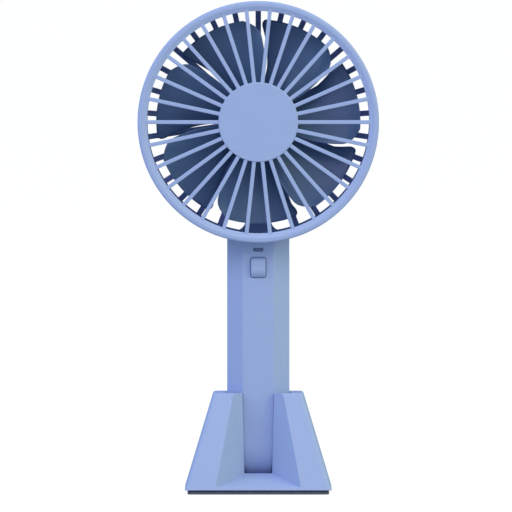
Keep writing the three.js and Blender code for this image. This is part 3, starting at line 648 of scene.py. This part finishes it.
def head_housing():
    """The drum with the rear grille, the motor cup, the wide rib with its tunnel, and the neck's tongue."""
    inner = DRUM_R - DRUM_WALL
    drum = lathe("head_housing_moulding", rounded([
        (inner, SEAM_Y + SEAM, 0), (DRUM_R, SEAM_Y + SEAM, 0.2), (DRUM_R, REAR_Y, 2.2),
        (OPENING_R, REAR_Y, 0.4), (OPENING_R, REAR_Y - 2.6, 0.2), (inner, REAR_Y - 4, 0.5),
    ], 8), HEAD)
    cup = lathe("cup", [(0, CUP_BACK_Y)] + rounded([
        (CUP_R, CUP_BACK_Y, 1.5), (CUP_R, CUP_RIM_Y, 0.3), (CUP_R - CUP_WALL, CUP_RIM_Y, 0.3),
        (CUP_R - CUP_WALL, CUP_BACK_Y - CUP_WALL, 0.3), (0, CUP_BACK_Y - CUP_WALL, 0), (0, CUP_BACK_Y, 0),
    ], 8)[:-1], HEAD)
    reach = (CUP_R - 0.3, OPENING_R + 0.3)
    flare, edge = 0.4, 0.35
    spokes = []
    for i in range(REAR_SPOKES):
        angle = 90 + (i - (REAR_SPOKES - 1) / 2) * REAR_PITCH
        spokes.append(bar(f"rear_spoke_{i}", angle, reach, REAR_SPOKE_WIDTH / 2, REAR_SPOKE_Y, flare, edge))
    outline = rib_outline()
    rib = row("rib", [(outline, RIB_FRONT_Y), (outline, REAR_Y - 0.05)], (0, HEAD_Z))
    soften(rib, 0.3, 40, 3)
    union(drum, *spokes)
    union(drum, cup)
    union(drum, rib)
    lowest = HEAD_Z - DRUM_R - 1
    top = (CHANNEL_HALF, CHANNEL_Y[1], HEAD_Z - CUP_R + 3)
    channel = block("channel", (-CHANNEL_HALF, CHANNEL_Y[0], lowest), top)
    notch = block("notch", (-CHANNEL_HALF, CUP_RIM_Y - 1, CHANNEL_MOUTH_Z), top)
    cut(drum, channel)
    cut(drum, notch)
    back = HANDLE_DEPTH - HANDLE_WALL - TONGUE_AIR
    inside = handle_section(-HANDLE_WALL - TONGUE_AIR, 0.5)
    tongue = stack("tongue", [(inside, housing_low.z), (inside, HEAD_Z - DRUM_R + 1)])
    low = (-TONGUE_HALF, back - TONGUE_THICKNESS, housing_low.z - 1)
    overlap(tongue, block("tongue_block", low, (TONGUE_HALF, back, HEAD_Z)))
    for side in (-1, 1):
        at = (side * NECK_SCREW_AT[0], NECK_SCREW_AT[1])
        cut(tongue, row("passage", [(circle(PASSAGE_R), back - 4), (circle(PASSAGE_R), back + 1)], at))
    union(drum, tongue)
    return piece(drum, "fan_body", "shell", "head_housing")


front_grille()
head_housing()


# ---- impeller ----
def gap_angle(r):
    """The angle in degrees of the gap between two blades, which leans over as the radius grows."""
    return GAP_ANGLE + GAP_LEAN * max(0, (r - LEAN_START_R) / (BLADE_TIP_R - LEAN_START_R)) ** 1.4


def blade(index):
    """One blade, with a rounded rim and a hollow front face. Its front edge is cut away towards the tip."""
    across, outward = 30, 22  # steps
    root = HUB_R - 0.6
    rings = []
    for j in range(outward + 1):
        out = 1 - (1 - j / outward) ** 1.7
        r = root + (BLADE_TIP_R - root) * out
        front_trim = 1.1 + 8 * max(0, (r - FRONT_CUT_R) / (BLADE_TIP_R - FRONT_CUT_R)) ** 2.2
        tip = max(0, 1 - (BLADE_TIP_R - r) / TIP_ROUND)
        rear_trim = 1 + 4.6 * (1 - sqrt(1 - tip**2))
        start = gap_angle(r) + front_trim
        sweep = BLADE_PITCH - front_trim - rear_trim
        front, rear = [], []
        for i in range(across + 1):
            along = (1 - cos(pi * i / across)) / 2
            angle = radians(start + along * sweep + index * BLADE_PITCH)
            from_edge = min(along, 1 - along) * radians(sweep) * r
            inset = min(from_edge, BLADE_TIP_R - r, BLADE_EDGE) / BLADE_EDGE
            half = BLADE_THICKNESS / 2 * sqrt(max(0, 1 - (1 - inset) ** 2))
            y = BLADE_FRONT_Y + along * (BLADE_REAR_Y - BLADE_FRONT_Y) + BLADE_CAMBER * sin(pi * along)
            x, z = r * cos(angle), HEAD_Z + r * sin(angle)
            front.append((x, y - half, z))
            rear.append((x, y + half, z))
        rings.append(front + rear[-2:0:-1])
    return loft(f"blade_{index}", rings[:-1], True)


def impeller():
    """A cup-shaped hub with a boss for the shaft, and seven blades."""
    inside_y = HUB_FRONT_Y + HUB_FACE
    bore_r, bore_y = SHAFT_R + 0.1, HUB_FRONT_Y + 1.1
    hub = lathe("impeller_moulding", [(0, HUB_FRONT_Y)] + rounded([
        (HUB_R, HUB_FRONT_Y, 1.5), (HUB_R, HUB_BACK_Y, 0.3), (HUB_R - HUB_WALL, HUB_BACK_Y, 0.3),
        (HUB_R - HUB_WALL, inside_y, 0.5), (HUB_BOSS_R, inside_y, 0.2), (HUB_BOSS_R, HUB_BOSS_Y, 0.2),
        (bore_r, HUB_BOSS_Y, 0), (bore_r, bore_y, 0), (0, bore_y, 0),
        (0, HUB_FRONT_Y, 0),
    ], 6)[:-1], HEAD)
    union(hub, *[blade(i) for i in range(BLADES)])
    return piece(hub, "rotor", "impeller", "impeller")


impeller()


# ---- handle ----
def wall_hole(size, clearance, corner, lip, at, side):
    """A cutter through the handle's front wall (side -1) or rear wall (side 1), with a rounded lip."""
    width, height = size[0] + 2 * clearance, size[1] + 2 * clearance
    levels = [(rounded_rect(width + 2 * lip, height + 2 * lip, corner + lip), side * (HANDLE_DEPTH + 1))]
    for grow, depth in quarter(lip, 4):
        outline = rounded_rect(width + 2 * grow, height + 2 * grow, corner + grow)
        levels.append((outline, side * (HANDLE_DEPTH - depth)))
    outline = rounded_rect(width, height, corner)
    levels.append((outline, side * (HANDLE_DEPTH - HANDLE_WALL - 1)))
    return row("wall_hole", levels, at)


def screw_sink(radius, lip, floor_y, at):
    """A round cutter down to a floor from behind the handle, with a rounded lip."""
    levels = [(circle(radius + lip), HANDLE_DEPTH + 1)]
    levels += [(circle(radius + grow), HANDLE_DEPTH - depth) for grow, depth in quarter(lip, 4)]
    levels.append((circle(radius), floor_y))
    return row("screw_sink", levels, at)


def handle_column(name, offset, foot_z, top_z, edge):
    """The handle's column from a height up, grown or shrunk by an offset. Its foot is rounded."""
    steps = 12
    inwards, upwards = (size + offset for size in FOOT_ROUND)
    levels = []
    for k in range(steps + 1):
        angle = pi / 2 * k / steps
        section = handle_section(offset - inwards * (1 - sin(angle)), edge)
        levels.append((section, foot_z + upwards * (1 - cos(angle))))
    levels.append((handle_section(offset, edge), top_z))
    return stack(name, levels)


def head_room():
    """The room that the head takes out of the handle's top."""
    air = 0.12
    return lathe("head_room", [
        Vector((0, FRONT_Y - 1)), Vector((HEAD_R + air, FRONT_Y - 1)), Vector((HEAD_R + air, SEAM_Y)),
        Vector((DRUM_R + air, SEAM_Y)), Vector((DRUM_R + air, REAR_Y + 4)), Vector((0, REAR_Y + 4)),
    ], HEAD)


def seam_lip(side, air):
    """The rear shell's lip inside one side wall of the front shell. With air, the step cut for it there."""
    inner = HANDLE_HALF - HANDLE_WALL
    near, far = sorted((side * (inner - air), side * (inner + LIP_WALL + air)))
    root_y = 0.6
    top_z = HEAD_Z - HEAD_R + 5
    return block("lip", (near, -LIP_DEPTH - air, LIP_FOOT_Z - air), (far, root_y, top_z))


def inside_the_foot(rod):
    """A rod across the handle's foot, kept just inside the outer surface."""
    return overlap(rod, handle_column("outside", -0.05, HANDLE_FOOT_Z, 40, HANDLE_EDGE))


def handle_shell(name, side):
    """One half of the handle: side -1 is the front shell and 1 is the rear one."""
    top_z = HEAD_Z - HEAD_R + 4
    shell = handle_column(name, 0, HANDLE_FOOT_Z, top_z, HANDLE_EDGE)
    cut(shell, handle_column("room", -HANDLE_WALL, HANDLE_FOOT_Z + HANDLE_WALL, top_z + 1, 0.4))
    cut(shell, head_room())
    seam_cut = 0.16
    for x in (-HANDLE_HALF, HANDLE_HALF):
        diamond = [Vector(p) for p in ((x - seam_cut, 0), (x, -seam_cut), (x + seam_cut, 0), (x, seam_cut))]
        cut(shell, stack("seam", [(diamond, HANDLE_FOOT_Z - 1), (diamond, top_z + 1)]))
    reach = HANDLE_HALF + 1
    near, far = sorted((side * SEAM, side * (HANDLE_DEPTH + 1)))
    overlap(shell, block("half", (-reach, near, 0), (reach, far, top_z + 2)))
    round_boss = circle(SCREW_BOSS_R)
    boss = row("boss", [(round_boss, side * 0.3), (round_boss, side * HANDLE_DEPTH)], (0, HANDLE_SCREW_Z))
    union(shell, inside_the_foot(boss))
    if side < 0:
        return cut(shell, *[seam_lip(x, LIP_AIR) for x in (-1, 1)])
    return union(shell, *[cut(seam_lip(x, 0), head_room()) for x in (-1, 1)])


def handle_front():
    """The front shell, with holes for the button and the indicator window and a blind screw hole."""
    shell = handle_shell("handle_front_moulding", -1)
    cut(shell, wall_hole(BUTTON_SIZE, 0.18, 0.95, 0.2, (0, BUTTON_Z), -1))
    cut(shell, wall_hole(LENS_SIZE, 0.1, 0.72, 0.12, (0, LENS_Z), -1))
    cut(shell, row("pilot", [(circle(PILOT_R), -9), (circle(PILOT_R), 1)], (0, HANDLE_SCREW_Z)))
    return piece(shell, "fan_body", "shell", "handle_front")


def handle_rear():
    """The rear shell, with three sunk screw holes and the hole for the charging port."""
    shell = handle_shell("handle_rear_moulding", 1)
    at = (0, HANDLE_SCREW_Z)
    wide, passage = circle(SCREW_TOWER_R), circle(PASSAGE_R)
    union(shell, inside_the_foot(row("tower", [(wide, 7), (wide, HANDLE_DEPTH)], at)))
    cut(shell, screw_sink(2.3, 0.25, HANDLE_SCREW_HEAD_Y - 1.5, at))
    cut(shell, row("passage", [(passage, -1), (passage, HANDLE_SCREW_HEAD_Y)], at))
    for side in (-1, 1):
        at = (side * NECK_SCREW_AT[0], NECK_SCREW_AT[1])
        cut(shell, screw_sink(2.1, 0.2, HANDLE_DEPTH - 1, at))
        cut(shell, row("passage", [(passage, 10), (passage, HANDLE_DEPTH)], at))
    cut(shell, wall_hole(PORT_SIZE, 0.3, PORT_SIZE[1] / 2 + 0.25, 0.3, (0, PORT_Z), 1))
    return piece(shell, "fan_body", "shell", "handle_rear")


handle_front()
handle_rear()


# ---- button, indicator window, charging port ----
def button_rise(z):
    """How far the cap stands out of the handle at a height over its middle. It rises quickly below
    its top edge, then slowly, and curves back to the handle below."""
    step_share, crest_share = 0.13, 0.62  # where the quick rise ends and where the cap stands out most
    down = 0.5 - z / BUTTON_SIZE[1]
    start = min(1, down / step_share)
    slope = 0.1 + 0.5 * start * start * (3 - 2 * start) + 0.42 * min(1, down / crest_share)
    back = max(0, (down - crest_share) / 0.38)
    return BUTTON_RISE * (slope - 0.02 - 0.88 * back ** 2.2)


def button():
    """The cap with its curved face, the flange that holds it in the handle and the stem behind it."""
    width, height = BUTTON_SIZE
    corner, edge = 0.8, 0.32
    outline = []
    corners = rounded_rect(width, height, corner, 8)
    for a, b in zip(corners, corners[1:] + corners[:1]):
        steps = max(1, round((b - a).length / 0.4))
        outline += [a.lerp(b, k / steps) for k in range(steps)]

    def ring(inset, drop):
        """The cap's outline shrunk towards its middle and laid on the front surface."""
        scale = Vector((1 - 2 * inset / width, 1 - 2 * inset / height))
        points = [Vector((p.x * scale.x, p.y * scale.y)) for p in outline]
        return [(p.x, drop - HANDLE_DEPTH - button_rise(p.y), BUTTON_Z + p.y) for p in points]

    rings = [[(p.x, BUTTON_BACK_Y, BUTTON_Z + p.y) for p in outline]]
    rings += [ring(inset, depth) for inset, depth in reversed(quarter(edge, 5))]
    rings += [ring(edge + (width / 2 - edge) * share, 0) for share in (0.2, 0.4, 0.6, 0.8, 0.95)]
    moulding = loft("button_cap_moulding", rings)
    at = (0, BUTTON_Z)
    wide = rounded_rect(width + 2 * BUTTON_FLANGE, height + 2 * BUTTON_FLANGE, 1.8)
    stem = circle(BUTTON_STEM_R)
    union(moulding, row("flange", [(wide, BUTTON_BACK_Y - 0.1), (wide, BUTTON_BACK_Y + 0.8)], at))
    union(moulding, row("stem", [(stem, BUTTON_BACK_Y + 0.6), (stem, button_high.y)], at))
    return piece(moulding, "button", "shell", "button_cap")


def pill(size, inset, steps=6):
    """A rectangle with round ends, shrunk by an inset."""
    width, height = size
    return rounded_rect(width - 2 * inset, height - 2 * inset, height / 2 - 0.02 - inset, steps)


def indicator_window():
    """A pill-shaped light pipe with a rounded edge and a round stem."""
    at = (0, LENS_Z)
    back_y, edge = lens_low.y + 2.9, 0.18
    levels = [(pill(LENS_SIZE, 0), back_y)]
    levels += [(pill(LENS_SIZE, inset), lens_low.y + depth) for inset, depth in reversed(quarter(edge, 4))]
    window = row("indicator_window", levels, at)
    stem = circle(0.6)
    union(window, row("stem", [(stem, lens_low.y + 2.6), (stem, lens_high.y)], at))
    return piece(window, "fan_body", "lens", "light_pipe")


def charging_port():
    """A drawn steel shell, its rim rolled in a little, round a flat tongue."""
    at = (0, PORT_Z)
    wall = 0.35
    floor_y = port_low.y + 1.3
    rim = [(0, 0.15), (0.05, 0.04), (0.13, 0), (wall - 0.13, 0), (wall - 0.05, 0.04), (wall, 0.15)]
    levels = [(pill(PORT_SIZE, 0, 12), port_low.y)]
    levels += [(pill(PORT_SIZE, inset, 12), port_high.y - depth) for inset, depth in rim]
    levels.append((pill(PORT_SIZE, wall, 12), floor_y))
    port = row("charging_port_shell", levels, at)
    flat, tip = rounded_rect(6.6, 0.7, 0.1), rounded_rect(6.3, 0.45, 0.1)
    tongue_levels = [(flat, port_low.y + 0.7), (flat, HANDLE_DEPTH - 1.3), (tip, HANDLE_DEPTH - 1.1)]
    union(port, row("tongue", tongue_levels, at))
    return piece(port, "fan_body", "steel", "charging_port")


button()
indicator_window()
charging_port()


# ---- screws ----
NECK_SCREW = (1.8, 0.7, 1, 4)  # head radius, head height, shank radius and length
HANDLE_SCREW = (2, 1.2, 1, 13)
BASE_SCREW = (2.2, 1.2, 1.1, 10)


def screw(node, body, size, head_down=False):
    """A pan-head screw with a cross recess, standing where its CAD node stands.
    Its head faces the back, or the table where head_down is true."""
    head_r, head_height, shank_r, length = size
    outline = [(0, 0)] + rounded([
        (head_r, 0, head_height * 0.45), (head_r, -head_height, 0.08), (shank_r, -head_height, 0.1),
        (shank_r, -length + shank_r, 0), (0.25, -length, 0), (0, -length, 0), (0, 0, 0),
    ], 5)[:-1]
    body_mesh = lathe(node + "_fine", outline, segments=48)
    slot_half_width = 0.32
    slot_half_length = head_r * 0.62
    depth = head_height * 0.62
    for wide, tall in ((slot_half_width, slot_half_length), (slot_half_length, slot_half_width)):
        cross = row("cross", [
            (rounded_rect(wide * 2, tall * 2, 0.1, 2), 0.2),
            (rounded_rect(wide * 1.3, tall * 1.3, 0.05, 2), -depth),
        ])
        cut(body_mesh, cross)
    low, high = box_mm(node)
    centre = (low + high) / 2
    for v in body_mesh.data.vertices:
        if head_down:
            v.co = Vector((v.co.x, v.co.z, -v.co.y)) + Vector((centre.x, centre.y, low.z)) * MM
        else:
            v.co += Vector((centre.x, high.y, centre.z)) * MM
    return piece(body_mesh, body, "steel", node)


screw("neck_screw_left", "fan_body", NECK_SCREW)
screw("neck_screw_right", "fan_body", NECK_SCREW)
screw("handle_screw", "fan_body", HANDLE_SCREW)
for i in range(1, 5):
    screw(f"base_screw_{i}", "base", BASE_SCREW, head_down=True)


# ---- desk base ----
def base_half(axis, z):
    """Half the base's width (axis 0) or depth (axis 1) at a height."""
    rise = (z - BASE_Z[0]) / (BASE_Z[1] - BASE_Z[0])
    return BASE_HALF[axis] + (BASE_TOP_HALF[axis] - BASE_HALF[axis]) * rise


def base_outline(z, inset, corner):
    """The base's outline at a height, shrunk by an inset."""
    return rounded_rect(2 * (base_half(0, z) - inset), 2 * (base_half(1, z) - inset), corner, 8)


def leaning_block(name, z0, z1, inset, corner, foot_round=0.0, top_round=0.0):
    """The base's leaning block between two heights, shrunk by an inset, with its end edges rounded."""
    levels = [(z0 + depth, inset + away) for away, depth in quarter(foot_round)]
    levels += [(z1 - depth, inset + away) for away, depth in reversed(quarter(top_round, 9))]
    return stack(name, [(base_outline(z, away, corner), z) for z, away in levels])


def slot_half(z):
    """Half the width of the slot in front of the handle, which narrows downwards."""
    return SLOT_FOOT_HALF + SLOT_WIDENING * (z - SLOT_FOOT_Z)


def hollow_half(z):
    """Half the width of the hollow at the base's front face."""
    return HOLLOW_FOOT_HALF - HOLLOW_NARROWING * (z - HOLLOW_FOOT_Z)


def hull(name, points):
    """The convex solid round some points."""
    b = bmesh.new()
    for p in points:
        b.verts.new(Vector(p) * MM)
    bmesh.ops.convex_hull(b, input=b.verts)
    mesh = bpy.data.meshes.new(name)
    b.to_mesh(mesh)
    b.free()
    obj = bpy.data.objects.new(name, mesh)
    scene.collection.objects.link(obj)
    return obj


def mirrored(points):
    """The points and their mirror images across the middle plane."""
    return points + [Vector((-p.x, p.y, p.z)) for p in points]


def front_hollow(grow):
    """The hollow in the base's front face: four leaning sides that close in on the slot."""
    inner = [Vector((slot_half(z) + grow, SLOT_FRONT_Y, z)) for z in (SLOT_FOOT_Z, HOLLOW_TOP_Z)]
    outer = [Vector((hollow_half(z) + grow, -base_half(1, z), z)) for z in (HOLLOW_FOOT_Z, HOLLOW_TOP_Z)]
    inner[0].z -= grow
    outer[0].z -= grow
    return hull("hollow", mirrored(inner + [a.lerp(b, 1.3) for a, b in zip(inner, outer)]))


def slot():
    """The slot through the socket's front wall, which shows the handle."""
    depths = (SLOT_FRONT_Y - 1, 1 - HANDLE_DEPTH)
    return hull("slot", mirrored([
        Vector((slot_half(z), y, z)) for z in (SLOT_FOOT_Z, HOLLOW_TOP_Z) for y in depths
    ]))


def uprights(radius, low, high):
    """A round column at each of the base's four screws."""
    x, y = BASE_SCREW_AT
    corners = [Vector(at) for at in ((-x, -y), (x, -y), (x, y), (-x, y))]
    return [stack("upright", [([at + p for p in circle(radius)], z) for z in (low, high)]) for at in corners]


def base_shell():
    """The leaning block with its socket, hollow and slot, cut out underneath, with four screw posts."""
    lip, foot_round, top_round = 0.3, 0.3, 0.8
    shell = leaning_block("base_shell_moulding", *BASE_Z, 0, BASE_CORNER, foot_round, top_round)
    socket_levels = [(handle_section(SOCKET_CLEARANCE), SOCKET_FLOOR_Z)]
    for grow, depth in reversed(quarter(lip)):
        socket_levels.append((handle_section(SOCKET_CLEARANCE + grow), BASE_Z[1] - depth))
    socket_levels.append((handle_section(SOCKET_CLEARANCE + lip), BASE_Z[1] + 1))
    cut(shell, stack("socket", socket_levels))
    cut(shell, front_hollow(0))
    cut(shell, slot())

    def on_the_hollow(p):
        return p.y < SLOT_FRONT_Y + 0.2 and p.z > HOLLOW_FOOT_Z - 0.1 and abs(p.x) < HOLLOW_FOOT_HALF + 0.8

    soften(shell, 0.3, 12, 3, on_the_hollow)
    walls = handle_section(SOCKET_CLEARANCE + SOCKET_WALL, 1.5)
    cavity = leaning_block("cavity", BASE_Z[0] - 1, BASE_Z[1] - BASE_WALL, BASE_WALL, 1)
    cut(cavity, stack("socket_walls", [(walls, SOCKET_FLOOR_Z - 1.5), (walls, BASE_Z[1])]))
    cut(cavity, front_hollow(SOCKET_WALL))
    cut(cavity, *uprights(BASE_POST_R, plate_high.z + 0.3, 30))
    cut(shell, cavity)
    cut(shell, *uprights(SCREW_PASSAGE_R, plate_high.z - 1, 13))
    return piece(shell, "base", "shell", "base_shell")


base_shell()


def foot_pad():
    """A sheet of rubber with rounded edges."""
    inset, corner, height = 1.2, 2, pad_high.z
    edge = quarter(0.35, 3)
    levels = []
    for away, z in edge + [(away, height - depth) for away, depth in reversed(edge)]:
        width, length = (2 * (half - inset - away) for half in BASE_HALF)
        levels.append((rounded_rect(width, length, corner), z))
    return piece(stack("foot_pad_sheet", levels), "base", "rubber", "foot_pad")


foot_pad()


# ---- stage, light ----
def seen_white(tree, seen, other, output, socket):
    """Shows one shader to the camera and another to every other ray."""
    ray = tree.nodes.new("ShaderNodeLightPath")
    mix = tree.nodes.new("ShaderNodeMixShader")
    tree.links.new(ray.outputs["Is Camera Ray"], mix.inputs["Fac"])
    tree.links.new(other, mix.inputs[1])
    tree.links.new(seen, mix.inputs[2])
    tree.links.new(mix.outputs["Shader"], output.inputs[socket])


def add_floor():
    """A pale floor that the camera sees lit through, like a studio table, with a faint shadow on it."""
    reach = 60 / MM
    corners = [(-reach, -reach, 0), (reach, -reach, 0), (reach, reach, 0), (-reach, reach, 0)]
    floor = mesh_object("floor", corners, [(0, 1, 2, 3)])
    n = Nodes("pale_floor")
    n.shader.inputs["Base Color"].default_value = (FLOOR_BOUNCE, FLOOR_BOUNCE, FLOOR_BOUNCE, 1)
    n.shader.inputs["Roughness"].default_value = 0.9
    glow = n.add("ShaderNodeEmission", Strength=0.93)
    shadow = n.add("ShaderNodeBsdfDiffuse", Color=(0.14, 0.14, 0.14, 1))
    both = n.add("ShaderNodeAddShader")
    n.link(glow.outputs["Emission"], both.inputs[0])
    n.link(shadow.outputs["BSDF"], both.inputs[1])
    output = n.tree.nodes["Material Output"]
    seen_white(n.tree, both.outputs["Shader"], n.shader.outputs["BSDF"], output, "Surface")
    floor.data.materials.append(n.material)


def add_world():
    """A pale blue room that lights the object. The camera sees it white."""
    world = bpy.data.worlds.new("studio")
    scene.world = world
    world.use_nodes = True
    tree = world.node_tree
    room = tree.nodes["Background"]
    room.inputs["Color"].default_value = (*WORLD_LIGHT, 1)
    room.inputs["Strength"].default_value = 1
    white = tree.nodes.new("ShaderNodeBackground")
    white.inputs["Color"].default_value = (1, 1, 1, 1)
    output = tree.nodes["World Output"]
    seen_white(tree, white.outputs["Background"], room.outputs["Background"], output, "Surface")


def add_area(name, at, target, size, power):
    """A soft rectangular light, with its power in watts of red, green and blue."""
    data = bpy.data.lights.new(name, "AREA")
    data.shape = "RECTANGLE"
    data.size, data.size_y = size
    data.energy = max(power)
    data.color = [p / max(power) for p in power]
    light = bpy.data.objects.new(name, data)
    scene.collection.objects.link(light)
    light.location = at
    light.rotation_euler = (Vector(target) - Vector(at)).to_track_quat("-Z", "Y").to_euler()
    light.visible_camera = False


FLOOR_BOUNCE = 0.5
WORLD_LIGHT = (0.455, 0.55, 0.76)
LIGHT_TARGET = Vector((0, 0, 0.1))  # in metres, as the next two are
LIGHT_DISTANCE = 2.0
LIGHT_SIZE = (1, 1)
LIGHTS = [  # name, degrees to the right of the front, degrees up, watts of red, green and blue
    ("front", 0, 40, (12.4, 9.8, 12)),
    ("left", -65, 40, (12.4, 14, 13.5)),
    ("right", 60, 40, (12, 12, 3.7)),
    ("low_right", 60, 15, (8.8, 9, 3.3)),
]
add_floor()
add_world()
for name, side, up, power in LIGHTS:
    level = LIGHT_DISTANCE * cos(radians(up))
    height = LIGHT_DISTANCE * sin(radians(up))
    away = Vector((level * sin(radians(side)), -level * cos(radians(side)), height))
    add_area(name, LIGHT_TARGET + away, LIGHT_TARGET, LIGHT_SIZE, power)
scene.view_settings.view_transform = "Standard"
